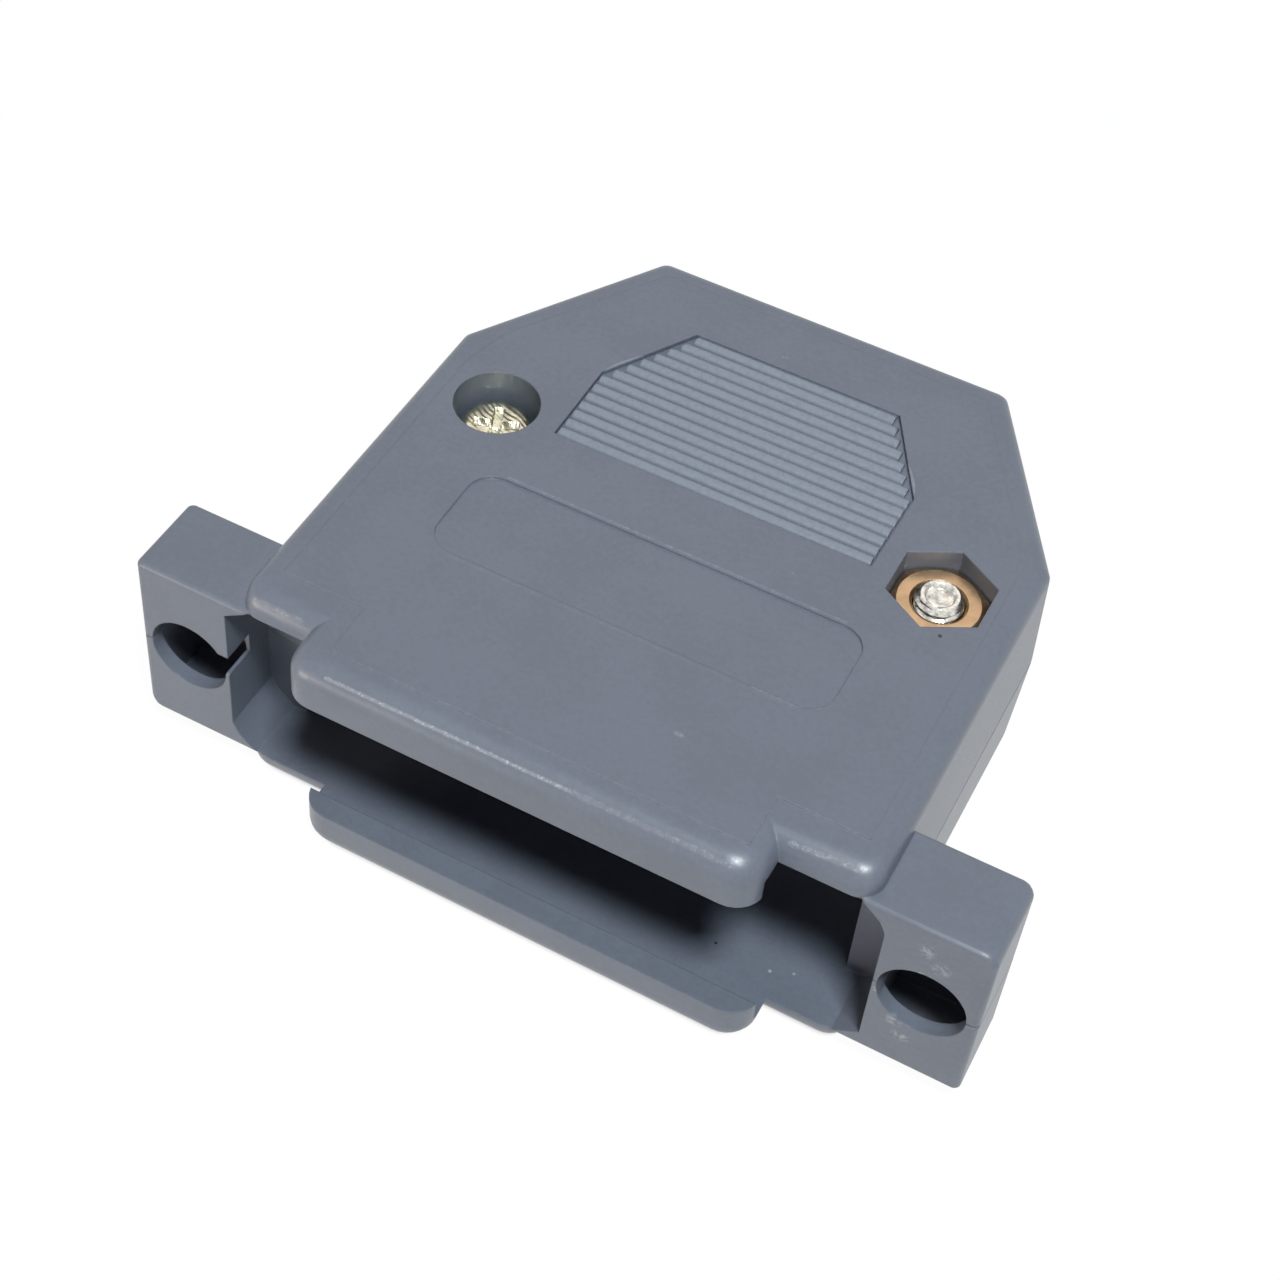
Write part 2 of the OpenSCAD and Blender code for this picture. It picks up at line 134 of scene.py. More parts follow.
plasticFinish = {
    "colour": (0.150, 0.164, 0.209),
    "mottle": 0.05,                        # how much darker and lighter the clouds are
    "mottleSize": 5 * mm,
    "mottleLevels": (0.3, 0.7),            # noise levels of the darkest and the lightest cloud
    "fleckSize": 0.35 * mm,
    "fineMottle": 3.6,                     # how strongly the flecks join the clouds
    "edgeWearAndHighlightColour": (0.195, 0.22, 0.272),    # along the edges: partly wear, partly a painted highlight on their rounding
    "edgeWearAndHighlightLevels": (0.995, 0.86),           # cosine of the edge's bend, from plain to worn and painted light
    "edgeWearAndHighlightShare": 0.8,
    "paleColour": (0.50, 0.50, 0.53),      # rubbed or stressed plastic, and the painted highlight lines and glints
    "speckColour": (0.020, 0.022, 0.028),
    "dustColour": (0.36, 0.36, 0.37),
    "roughness": 0.34,
    "smoother": 0.05,                      # how far the grain takes the roughness down and up
    "rougher": 0.06,
    "grainLevels": (0.2, 0.8),
    "scuffRoughness": 0.12,
    "gloss": 1.55,                         # index of refraction
    "edgeRadius": 0.16 * mm,
    "edgeSamples": 3,
    "grainSize": 0.11 * mm,
    "grainDepth": 0.005 * mm,
    "scuffDepth": 0.03 * mm,
}

scuffsAndGlints = [  # millimetres: centre, half sizes, and how much of it is rubbed or painted light
    {"centre": (23.15, -19.27, 12.75), "size": (0.62, 0.4, 0.75), "amount": 0.42},
    {"centre": (24.05, -19.27, 11.75), "size": (0.72, 0.4, 0.75), "amount": 0.40},
    {"centre": (22.35, -19.27, 5.45), "size": (0.60, 0.4, 0.70), "amount": 0.60},
    {"centre": (22.95, -19.27, 4.35), "size": (0.70, 0.4, 0.60), "amount": 0.50},
    {"centre": (23.04, -19.27, 10.61), "size": (0.25, 0.3, 0.35), "amount": 0.5},
    {"centre": (20.96, -19.27, 7.38), "size": (0.22, 0.3, 0.42), "amount": 0.8},
    {"centre": (20.91, -19.27, 8.43), "size": (0.18, 0.3, 0.22), "amount": 0.8},
    # painted highlights: the next two are glints on the left ear, not scuffs
    {"centre": (-24.36, -18.27, 5.45), "size": (0.2, 0.25, 0.2), "amount": 1.0},
    {"centre": (-20.25, -17.84, 8.10), "size": (0.5, 0.3, 0.2), "amount": 0.9},
    {"centre": (-1.34, 14.72, 16.20), "size": (0.24, 0.18, 0.20), "amount": 0.8},
    {"centre": (6.48, -15.66, 16.20), "size": (0.60, 0.20, 0.20), "amount": 0.3},
]

highlightLines = [  # painted highlight lines on the rounded front edges, then the low step around the top: ends and half width in millimetres
    {"from": (-12.2, -21.77, 15.72), "to": (3.0, -21.73, 15.76), "width": 0.16, "amount": 0.62},
    {"from": (3.0, -21.73, 15.76), "to": (12.6, -21.70, 15.79), "width": 0.26, "amount": 0.22},
    {"from": (-19.2, -18.90, 15.63), "to": (-15.7, -18.93, 15.59), "width": 0.26, "amount": 0.25},
    {"from": (14.6, -18.79, 15.75), "to": (18.6, -18.60, 15.91), "width": 0.26, "amount": 0.28},
    {"from": (-12.85, -20.32, 16.2), "to": (12.85, -20.32, 16.2), "width": 0.12, "amount": 0.14},
    {"from": (-18.2, -16.72, 16.2), "to": (-12.85, -16.72, 16.2), "width": 0.12, "amount": 0.14},
    {"from": (12.85, -16.72, 16.2), "to": (18.2, -16.72, 16.2), "width": 0.12, "amount": 0.12},
    {"from": (12.85, -20.32, 16.2), "to": (12.85, -17.2, 16.2), "width": 0.12, "amount": 0.09},
    {"from": (-11.0, -3.58, 16.2), "to": (11.0, -3.58, 16.2), "width": 0.13, "amount": 0.22},
    {"from": (-11.0, -10.8, 16.2), "to": (11.0, -10.8, 16.2), "width": 0.13, "amount": 0.06},
    {"from": (8.4, -10.6, 16.2), "to": (11.0, -10.6, 16.2), "width": 0.12, "amount": 0.22},
    {"from": (11.0, -10.6, 16.2), "to": (12.25, -10.08, 16.2), "width": 0.12, "amount": 0.26},
    {"from": (12.25, -10.08, 16.2), "to": (12.76, -8.84, 16.2), "width": 0.12, "amount": 0.18},
]

rubbingAndHighlights = {  # how scuffs, painted glints and painted highlight lines break up into flecks
    "scuffAndGlintLevels": (0.42, 0.6),     # noise levels between which a scuff or painted glint begins to show
    "scuffAndGlintCore": 0.3,               # share of a scuff's or painted glint's size that is shown in full
    "lineCore": 0.2,                # share of a painted highlight line's width that is shown in full
    "glintFlecks": (0.4, 0.65),
    "glintGrain": (0.4, 0.7),
    "glintGain": 1.7,
    "betweenGlints": 0.42,
}

gripPolishAndHighlight = {  # the ridges' crests, painted pale: partly polish by fingers, partly a painted highlight; millimetres
    "front": 1.25,
    "frontHalf": 10.45,
    "shoulder": 7.45,
    "rear": 13.6,
    "rearHalf": 6.9,
    "grooveHeight": 16.0,
    "crestHeight": 16.14,
    "colour": (0.252, 0.274, 0.332),
    "fleckLevels": (0.35, 0.65),
    "fleckShares": (0.72, 1.25),    # how far the flecks weaken or strengthen the polish and painted highlight
}

specks = [  # dark spots: place and radius, in millimetres
    (16.0, -1.75, 16.2, 0.15), (-5.72, 9.34, 16.2, 0.09), (-5.38, 1.27, 16.2, 0.09),
    (6.05, 10.87, 16.2, 0.08), (20.0, -1.59, 9.31, 0.14), (20.0, 2.94, 6.09, 0.12),
    (20.0, -6.3, 8.6, 0.07), (20.0, 0.9, 8.3, 0.08), (20.0, 7.2, 7.9, 0.07),
    (11.04, -17.36, 1.75, 0.10),
]

dustFlecks = [(14.54, -17.49, 1.75, 0.12), (15.81, -16.97, 1.75, 0.10), (20.0, 4.6, 7.7, 0.07)]

spotRim = {"ragged": 0.5, "outside": 1.35, "inside": 0.9}  # shares of a spot's radius

strewnSpecks = {
    "every": 3.1 * mm, "radius": 0.07 * mm, "keep": 0.3, "strength": 0.45, "shift": (0.013, 0.004, 0.0021)}
strewnDust = {
    "every": 4.6 * mm, "radius": 0.08 * mm, "keep": 0.4, "strength": 0.35, "shift": (0.031, 0.022, 0.0013)}
strewnCore = 0.6  # share of a strewn spot's radius that is covered in full


def strewnMask(tree, coords, spots):  # small spots strewn at random
    moved = vectorNode(tree, "ADD", coords, spots["shift"])
    cells = addNode(tree, "ShaderNodeTexVoronoi", inputs={"Scale": 1 / spots["every"], "Randomness": 1.0})
    tree.links.new(moved, cells.inputs["Vector"])
    radius = spots["radius"] / spots["every"]
    near = rangeNode(tree, cells.outputs["Distance"], radius, strewnCore * radius, 0.0, spots["strength"])
    parts = addNode(tree, "ShaderNodeSeparateColor")
    tree.links.new(cells.outputs["Color"], parts.inputs[0])
    return mathNode(tree, "MULTIPLY", near, mathNode(tree, "LESS_THAN", parts.outputs[0], spots["keep"]))


def spotMask(tree, coords, spots, flecks):  # spots at given places, with uneven rims
    masks = []
    for x, y, z, radius in spots:
        far = vectorNode(tree, "DISTANCE", coords, Vector((x, y, z)) * mm)
        far = mathNode(tree, "MULTIPLY_ADD", flecks, spotRim["ragged"] * radius * mm, far)
        masks.append(rangeNode(tree, far, spotRim["outside"] * radius * mm, spotRim["inside"] * radius * mm))
    return highest(tree, masks)


# real scuffs and marks, and two painted glints
def scuffAndGlintMask(tree, coords, flecks):
    masks = []
    for scuff in scuffsAndGlints:
        away = vectorNode(tree, "SUBTRACT", coords, Vector(scuff["centre"]) * mm)
        far = vectorNode(tree, "LENGTH", vectorNode(tree, "DIVIDE", away, Vector(scuff["size"]) * mm))
        masks.append(rangeNode(tree, far, 1.0, rubbingAndHighlights["scuffAndGlintCore"], 0.0, scuff["amount"]))
    return mathNode(tree, "MULTIPLY", highest(tree, masks), rangeNode(tree, flecks, *rubbingAndHighlights["scuffAndGlintLevels"]))


# painted highlight: thin light lines along edges, broken into glints
def highlightLineMask(tree, coords, flecks, grain):
    masks = []
    for line in highlightLines:
        start, end, width = Vector(line["from"]) * mm, Vector(line["to"]) * mm, line["width"] * mm
        away = vectorNode(tree, "SUBTRACT", coords, start)
        along = vectorNode(tree, "DOT_PRODUCT", away, end - start)
        share = mathNode(tree, "MULTIPLY", along, 1 / (end - start).length_squared, clamp=True)
        nearest = addNode(tree, "ShaderNodeVectorMath", operation="SCALE")
        nearest.inputs[0].default_value = end - start
        tree.links.new(share, nearest.inputs["Scale"])
        far = vectorNode(tree, "LENGTH", vectorNode(tree, "SUBTRACT", away, nearest.outputs[0]))
        masks.append(rangeNode(tree, far, width, rubbingAndHighlights["lineCore"] * width, 0.0, line["amount"]))
    glints = mathNode(tree, "MULTIPLY", rangeNode(tree, flecks, *rubbingAndHighlights["glintFlecks"]),
                      rangeNode(tree, grain, *rubbingAndHighlights["glintGrain"]))
    uneven = mathNode(tree, "MULTIPLY_ADD", glints, rubbingAndHighlights["glintGain"], rubbingAndHighlights["betweenGlints"])
    return mathNode(tree, "MULTIPLY", highest(tree, masks), uneven, clamp=True)


def gripMask(tree, coords, flecks):  # the crests inside the grip's six-sided outline, painted lighter as polish and painted highlight
    grip = gripPolishAndHighlight
    apart = addNode(tree, "ShaderNodeSeparateXYZ")
    tree.links.new(coords, apart.inputs[0])
    across = mathNode(tree, "ABSOLUTE", apart.outputs["X"])
    half = rangeNode(tree, apart.outputs["Y"], grip["shoulder"] * mm, grip["rear"] * mm,
                     grip["frontHalf"] * mm, grip["rearHalf"] * mm)
    inside = mathNode(tree, "LESS_THAN", across, half)
    behind = mathNode(tree, "GREATER_THAN", apart.outputs["Y"], grip["front"] * mm)
    before = mathNode(tree, "LESS_THAN", apart.outputs["Y"], grip["rear"] * mm)
    crest = rangeNode(tree, apart.outputs["Z"], grip["grooveHeight"] * mm, grip["crestHeight"] * mm)
    within = mathNode(tree, "MULTIPLY", inside, mathNode(tree, "MULTIPLY", behind, before))
    uneven = rangeNode(tree, flecks, *grip["fleckLevels"], *grip["fleckShares"])
    return mathNode(tree, "MULTIPLY", mathNode(tree, "MULTIPLY", within, uneven), crest)


def shellPlastic():
    finish = plasticFinish
    material, tree, shader, coords = newMaterial("shellPlastic")
    clouds = noiseNode(tree, coords, finish["mottleSize"], detail=4.0, roughness=0.6)
    grain = noiseNode(tree, coords, finish["grainSize"], detail=3.0, roughness=0.6)
    flecks = noiseNode(tree, coords, finish["fleckSize"], detail=3.0, roughness=0.7)

    rounded = addNode(tree, "ShaderNodeBevel", samples=finish["edgeSamples"], inputs={
        "Radius": finish["edgeRadius"]})
    plain = addNode(tree, "ShaderNodeNewGeometry")
    facing = vectorNode(tree, "DOT_PRODUCT", rounded.outputs[0], plain.outputs["Normal"])
    # partly wear, partly painted highlight: lighter where the rounded edges bend
    edge = rangeNode(tree, facing, *finish["edgeWearAndHighlightLevels"], 0.0, finish["edgeWearAndHighlightShare"])

    dark = tuple(channel * (1 - finish["mottle"]) for channel in finish["colour"])
    light = tuple(channel * (1 + finish["mottle"]) for channel in finish["colour"])
    fineShare = mathNode(tree, "MULTIPLY", mathNode(tree, "SUBTRACT", flecks, 0.5), finish["fineMottle"])
    mottled = mathNode(tree, "ADD", rangeNode(tree, clouds, *finish["mottleLevels"]), fineShare)
    colour = mixColour(tree, mottled, dark, light)
    colour = mixColour(tree, edge, colour, finish["edgeWearAndHighlightColour"])
    # painted highlight and polish: the grip's crests are lighter than its grooves
    colour = mixColour(tree, gripMask(tree, coords, flecks), colour, gripPolishAndHighlight["colour"])
    colour = mixColour(tree, strewnMask(tree, coords, strewnSpecks), colour, finish["speckColour"])
    colour = mixColour(tree, spotMask(tree, coords, specks, flecks), colour, finish["speckColour"])
    dust = highest(tree, [strewnMask(tree, coords, strewnDust), spotMask(tree, coords, dustFlecks, flecks)])
    colour = mixColour(tree, dust, colour, finish["dustColour"])
    # real scuffs and painted highlights (lines along edges, glints) lighten the colour together
    rubbedAndHighlit = highest(tree, [scuffAndGlintMask(tree, coords, flecks), highlightLineMask(tree, coords, flecks, grain)])
    colour = mixColour(tree, rubbedAndHighlit, colour, finish["paleColour"])
    tree.links.new(colour, shader.inputs["Base Color"])

    rough = rangeNode(tree, grain, *finish["grainLevels"], finish["roughness"] - finish["smoother"],
                      finish["roughness"] + finish["rougher"])
    rough = mathNode(tree, "MULTIPLY_ADD", rubbedAndHighlit, finish["scuffRoughness"], rough)
    tree.links.new(rough, shader.inputs["Roughness"])
    normal = bumpNode(tree, grain, finish["grainDepth"], rounded.outputs[0])
    normal = bumpNode(tree, mathNode(tree, "MULTIPLY", rubbedAndHighlit, flecks), finish["scuffDepth"], normal)
    tree.links.new(normal, shader.inputs["Normal"])
    shader.inputs["IOR"].default_value = finish["gloss"]
    return material


# plated and bare steel

metalFinish = {  # dull is the share of the colour left in the dull clouds, pits the depth of the bumps
    "brightScrewPlating": {
        "colour": (0.84, 0.82, 0.76), "dull": 0.3, "clouds": 0.5 * mm,
        "roughness": 0.16, "pits": 0.004 * mm},
    "scoredScrewHead": {
        "colour": (0.80, 0.77, 0.58), "dull": 0.50, "clouds": 0.9 * mm,
        "roughness": 0.2, "pits": 0.006 * mm},
    "warmNutPlating": {
        "colour": (0.58, 0.40, 0.24), "dull": 0.78, "clouds": 0.9 * mm,
        "roughness": 0.3, "pits": 0.004 * mm},
    "bareStrip": {
        "colour": (0.62, 0.62, 0.61), "dull": 0.80, "clouds": 0.9 * mm,
        "roughness": 0.34, "pits": 0.006 * mm},
}

metalGrain = {  # shared by all the metals
    "cloudLevels": (0.35, 0.75),
    "fineSize": 0.12 * mm,
    "fineLevels": (0.2, 0.8),
    "smoother": 0.05,
    "rougher": 0.08,
    "edgeRadius": 0.05 * mm,
    "edgeSamples": 4,
}


def platedSteel(name):
    finish = metalFinish[name]
    material, tree, shader, coords = newMaterial(name)
    clouds = noiseNode(tree, coords, finish["clouds"], detail=4.0, roughness=0.65)
    fine = noiseNode(tree, coords, metalGrain["fineSize"], detail=3.0, roughness=0.6)
    dull = tuple(channel * finish["dull"] for channel in finish["colour"])
    colour = mixColour(tree, rangeNode(tree, clouds, *metalGrain["cloudLevels"]), finish["colour"], dull)
    tree.links.new(colour, shader.inputs["Base Color"])
    rough = rangeNode(tree, fine, *metalGrain["fineLevels"], finish["roughness"] - metalGrain["smoother"],
                      finish["roughness"] + metalGrain["rougher"])
    tree.links.new(rough, shader.inputs["Roughness"])
    rounded = addNode(tree, "ShaderNodeBevel", samples=metalGrain["edgeSamples"], inputs={
        "Radius": metalGrain["edgeRadius"]})
    tree.links.new(bumpNode(tree, fine, finish["pits"], rounded.outputs[0]), shader.inputs["Normal"])
    shader.inputs["Metallic"].default_value = 1.0
    return material


plastic = shellPlastic()
screwSteel = platedSteel("brightScrewPlating")
headSteel = platedSteel("scoredScrewHead")
nutSteel = platedSteel("warmNutPlating")
stripSteel = platedSteel("bareStrip")
print("materials made")


def placePiece(pieceName, mesh, nodeName):
    piece = bpy.data.objects.new(pieceName, mesh)
    bpy.context.scene.collection.objects.link(piece)
    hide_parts(nodeName)
    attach(piece, "root")
    return piece


# the two moulded shells and the nuts in them

shellMesh = {
    "weldWithin": 0.002 * mm,
    "creaseAngle": 24.0,   # edges sharper than this stay crisp
}


def smoothedCopy(nodeName, pieceName, material):
    mesh = nodes[nodeName].data.copy()
    mesh.name = pieceName
    welded = bmesh.new()
    welded.from_mesh(mesh)
    bmesh.ops.remove_doubles(welded, verts=welded.verts, dist=shellMesh["weldWithin"])
    crease = math.radians(shellMesh["creaseAngle"])
    for face in welded.faces:
        face.smooth = True
    for line in welded.edges:
        line.smooth = len(line.link_faces) == 2 and line.calc_face_angle(0) < crease
    welded.to_mesh(mesh)
    welded.free()
    mesh.materials.clear()
    mesh.materials.append(material)
    piece = placePiece(pieceName, mesh, nodeName)
    shading = piece.modifiers.new("faceWeighted", "WEIGHTED_NORMAL")
    shading.mode = "FACE_AREA"
    shading.keep_sharp = True


smoothedCopy("shell_upper", "shellUpper", plastic)
smoothedCopy("shell_lower", "shellLower", plastic)
smoothedCopy("case_nut_left", "caseNutLeft", nutSteel)
smoothedCopy("case_nut_right", "caseNutRight", nutSteel)
print("shells and case nuts done")


# shapes made of rings about the Z axis

def ringMesh(name, rings, around):
    # each ring is a function of the angle giving (radius, height); a single point is a plain height
    shape = bmesh.new()
    loops = []
    for ring in rings:
        if callable(ring):
            loop = []
            for step in range(around):
                angle = 2 * math.pi * step / around
                radius, height = ring(angle)
                loop.append(shape.verts.new((radius * math.cos(angle), radius * math.sin(angle), height)))
        else:
            loop = [shape.verts.new((0, 0, ring))]
        loops.append(loop)
    for last, loop in zip(loops, loops[1:]):
        for step in range(around):
            after = (step + 1) % around
            if len(last) == 1:
                shape.faces.new((last[0], loop[step], loop[after]))
            elif len(loop) == 1:
                shape.faces.new((last[step], loop[0], last[after]))
            else:
                shape.faces.new((last[step], loop[step], loop[after], last[after]))
    for face in shape.faces:
        face.smooth = True
    bmesh.ops.recalc_face_normals(shape, faces=shape.faces)
    mesh = bpy.data.meshes.new(name)
    shape.to_mesh(mesh)
    shape.free()
    return mesh


def roundRing(radius, height):
    return lambda angle: (radius, height)


# case screws, with a cut thread and a scored cross-recess head

screwShape = {
    "length": 12 * mm,         # under the head, where nothing else is given
    "threadRadius": 1.5 * mm,
    "pitch": 0.5 * mm,
    "threadDepth": 0.28 * mm,
    "flankGain": 1.25,         # above 1 leaves a flat on the crests
    "tipLength": 0.35 * mm,
    "cupDepth": 0.47 * mm,     # hollow in the end of the thread
    "cupRings": [(0.97, 0.02), (0.9, 0.0), (0.8, 0.02), (0.73, 0.3), (0.64, 0.38), (0.5, 0.33), (0.3, 0.42),
                 (0.12, 0.46)],  # share of the end's radius, and depth in millimetres
    "stepsAround": 40,
    "stepsPerPitch": 8,
    "weldWithin": 0.001 * mm,
    "headHeight": 1.9 * mm,
    "headEdge": 0.55 * mm,     # rounding of the head's rim
    "headTurn": 20.0,
    "headSteps": 128,
    "headRings": 60,
    "recessDepth": 0.8 * mm,
    "recessReach": 0.62,       # share of the head's radius
    "recessHalfWidth": 0.13,
    "recessRise": 0.55,        # how much shallower the recess is at its far ends
    "scoreEvery": 0.34 * mm,   # coarse file marks across the head
    "scoreDepth": 0.05 * mm,
    "scoreTurn": -42.0,
    "scoreFade": 0.5 * mm,     # from the rim inwards
    "scoreShare": 0.6,
    "wanderSize": 0.9 * mm,    # how the marks bend and come and go
    "wanderShare": 0.9,
    "wanderBend": 3,           # radians
}


def stepsAlong(length):
    return int(length / screwShape["pitch"] * screwShape["stepsPerPitch"])


def threadTree():
    shape = screwShape
    tree = bpy.data.node_groups.new("cutThread", "GeometryNodeTree")
    for name, kind, value in (
            ("Length", "Float", shape["length"]), ("Radius", "Float", shape["threadRadius"]),
            ("Pitch", "Float", shape["pitch"]), ("Depth", "Float", shape["threadDepth"]),
            ("Tip", "Float", shape["tipLength"]), ("Steps Around", "Int", shape["stepsAround"]),
            ("Steps Along", "Int", stepsAlong(shape["length"])), ("Material", "Material", None)):
        socket = tree.interface.new_socket(name, in_out="INPUT", socket_type="NodeSocket" + kind)
        if value is not None:
            socket.default_value = value
    tree.interface.new_socket("Geometry", in_out="OUTPUT", socket_type="NodeSocketGeometry")
    given = addNode(tree, "NodeGroupInput", (-1200, 0)).outputs
    result = addNode(tree, "NodeGroupOutput", (1400, 0))

    grid = addNode(tree, "GeometryNodeMeshGrid", (-900, 200), inputs={"Size X": 1.0, "Size Y": 1.0})
    tree.links.new(given["Steps Around"], grid.inputs["Vertices X"])
    tree.links.new(given["Steps Along"], grid.inputs["Vertices Y"])
    place = addNode(tree, "ShaderNodeSeparateXYZ", (-900, -200))
    tree.links.new(addNode(tree, "GeometryNodeInputPosition", (-1100, -300)).outputs[0], place.inputs[0])
    turn = mathNode(tree, "ADD", place.outputs["X"], 0.5)
    rise = mathNode(tree, "MULTIPLY", mathNode(tree, "ADD", place.outputs["Y"], 0.5), given["Length"])
    angle = mathNode(tree, "MULTIPLY", turn, 2 * math.pi)

    turns = mathNode(tree, "DIVIDE", rise, given["Pitch"])
    wave = mathNode(tree, "FRACT", mathNode(tree, "SUBTRACT", turns, turn))
    slope = mathNode(tree, "ABSOLUTE", mathNode(tree, "MULTIPLY_ADD", wave, 2.0, -1.0))
    groove = mathNode(tree, "MINIMUM", mathNode(tree, "MULTIPLY", slope, shape["flankGain"]), 1.0)
    cut = mathNode(tree, "MULTIPLY", mathNode(tree, "SUBTRACT", 1.0, groove), given["Depth"])
    radius = mathNode(tree, "SUBTRACT", given["Radius"], cut)
    fromTip = mathNode(tree, "ADD", rise, mathNode(tree, "SUBTRACT", given["Radius"], given["Tip"]))
    radius = mathNode(tree, "MINIMUM", radius, fromTip)

    moved = addNode(tree, "ShaderNodeCombineXYZ", (500, -200))
    tree.links.new(mathNode(tree, "MULTIPLY", mathNode(tree, "COSINE", angle), radius), moved.inputs["X"])
    tree.links.new(mathNode(tree, "MULTIPLY", mathNode(tree, "SINE", angle), radius), moved.inputs["Y"])
    tree.links.new(rise, moved.inputs["Z"])
    put = addNode(tree, "GeometryNodeSetPosition", (700, 100))
    tree.links.new(grid.outputs["Mesh"], put.inputs["Geometry"])
    tree.links.new(moved.outputs[0], put.inputs["Position"])
    joined = addNode(tree, "GeometryNodeMergeByDistance", (900, 100), inputs={
        "Distance": shape["weldWithin"]})
    tree.links.new(put.outputs[0], joined.inputs["Geometry"])
    real = addNode(tree, "GeometryNodeRealizeInstances", (1050, 100))
    tree.links.new(joined.outputs[0], real.inputs["Geometry"])
    paint = addNode(tree, "GeometryNodeSetMaterial", (1200, 100))
    tree.links.new(real.outputs[0], paint.inputs["Geometry"])
    tree.links.new(given["Material"], paint.inputs["Material"])
    tree.links.new(paint.outputs[0], result.inputs["Geometry"])
    return tree


def meshFromTree(tree, values):
    holder = bpy.data.objects.new(tree.name, bpy.data.meshes.new(tree.name))
    bpy.context.scene.collection.objects.link(holder)
    modifier = holder.modifiers.new("build", "NODES")
    modifier.node_group = tree
    for item in tree.interface.items_tree:
        if item.in_out == "INPUT" and item.name in values:
            modifier[item.identifier] = values[item.name]
    bpy.context.view_layer.update()
    evaluated = holder.evaluated_get(bpy.context.evaluated_depsgraph_get())
    mesh = bpy.data.meshes.new_from_object(evaluated)
    bpy.data.objects.remove(holder)
    return mesh


def headSurface(x, y, radius):  # height of the head's top at a point
    shape = screwShape
    far = math.hypot(x, y)
    flat = radius - shape["headEdge"]
    z = shape["headHeight"]
    if far > flat:
        share = min(1.0, (far - flat) / shape["headEdge"])
        z -= shape["headEdge"] * (1 - math.sqrt(max(0.0, 1 - share * share)))
    along = math.radians(shape["scoreTurn"])
    across = y * math.cos(along) - x * math.sin(along)
    wander = noise.noise(Vector((x, y, 0)) / shape["wanderSize"]) * shape["wanderShare"]
    score = math.sin(2 * math.pi * across / shape["scoreEvery"] + wander * shape["wanderBend"])
    fade = min(1.0, max(0.0, (radius - far) / shape["scoreFade"]))
    z -= shape["scoreDepth"] * fade * (0.5 - 0.5 * score) * (shape["scoreShare"] + wander)
    sunk = 0.0
    for lengthwise, sideways in ((x, y), (y, x)):
        reach = abs(lengthwise) / (shape["recessReach"] * radius)
        if reach < 1 and abs(sideways) < shape["recessHalfWidth"] * radius:
            sunk = max(sunk, shape["recessDepth"] * (1 - shape["recessRise"] * reach))
    return z - sunk


def screwHead(radius):
    shape = screwShape

    def ring(share):
        def point(angle):
            r = radius * share
            return r, headSurface(r * math.cos(angle), r * math.sin(angle), radius)
        return point

    rings = [headSurface(0, 0, radius)]
    rings += [ring((step + 1) / shape["headRings"]) for step in range(shape["headRings"])]
    rings += [roundRing(radius, 0.0), 0.0]
    return ringMesh("screwHead", rings, shape["headSteps"])


def joinMeshes(name, parts):  # parts are (mesh, material) pairs
    joined = bmesh.new()
    mesh = bpy.data.meshes.new(name)
    for index, (part, material) in enumerate(parts):
        before = len(joined.faces)
        joined.from_mesh(part)
        joined.faces.ensure_lookup_table()
        for face in joined.faces[before:]:
            face.material_index = index
        mesh.materials.append(material)
    joined.to_mesh(mesh)
    joined.free()
    return mesh


def caseScrew(nodeName, pieceName, up):  # up is 1 for a head on top and -1 for a head underneath
    shape = screwShape
    low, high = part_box(nodeName)
    middle = (low + high) / 2
    length = (high.z - low.z) - shape["headHeight"]
    thread = meshFromTree(threadTree(), {
        "Length": length, "Radius": shape["threadRadius"], "Pitch": shape["pitch"],
        "Depth": shape["threadDepth"], "Tip": shape["tipLength"], "Steps Around": shape["stepsAround"] + 1,
        "Steps Along": stepsAlong(length), "Material": screwSteel})
    end = shape["threadRadius"] - shape["tipLength"]
    cup = [roundRing(end * share, depth * mm) for share, depth in shape["cupRings"]]
    tip = ringMesh("screwTip", [roundRing(end, 0.0), *cup, shape["cupDepth"]], shape["stepsAround"] * 2)
    tip.flip_normals()
    head = screwHead((high.x - low.x) / 2)
    head.transform(Matrix.Translation((0, 0, length)))
    mesh = joinMeshes(pieceName, [(thread, screwSteel), (tip, screwSteel), (head, headSteel)])
    turn = Matrix.Rotation(math.radians(shape["headTurn"]), 4, "Z")
    if up < 0:
        turn = Matrix.Rotation(math.pi, 4, "Y") @ turn
    mesh.transform(Matrix.Translation((middle.x, middle.y, low.z if up > 0 else high.z)) @ turn)
    placePiece(pieceName, mesh, nodeName)


caseScrew("case_screw_left", "caseScrewLeft", 1)
caseScrew("case_screw_right", "caseScrewRight", -1)
print("case screws done")


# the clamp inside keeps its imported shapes

keptFinish = {
    "clamp_nut_left": nutSteel, "clamp_nut_right": nutSteel,
    "clamp_screw_left": screwSteel, "clamp_screw_right": screwSteel,
    "clamp_saddle_upper": stripSteel, "clamp_saddle_lower": stripSteel,
}
for nodeName, material in keptFinish.items():
    nodes[nodeName].data.materials.clear()
    nodes[nodeName].data.materials.append(material)
print("clamp painted")


# camera, floor and light

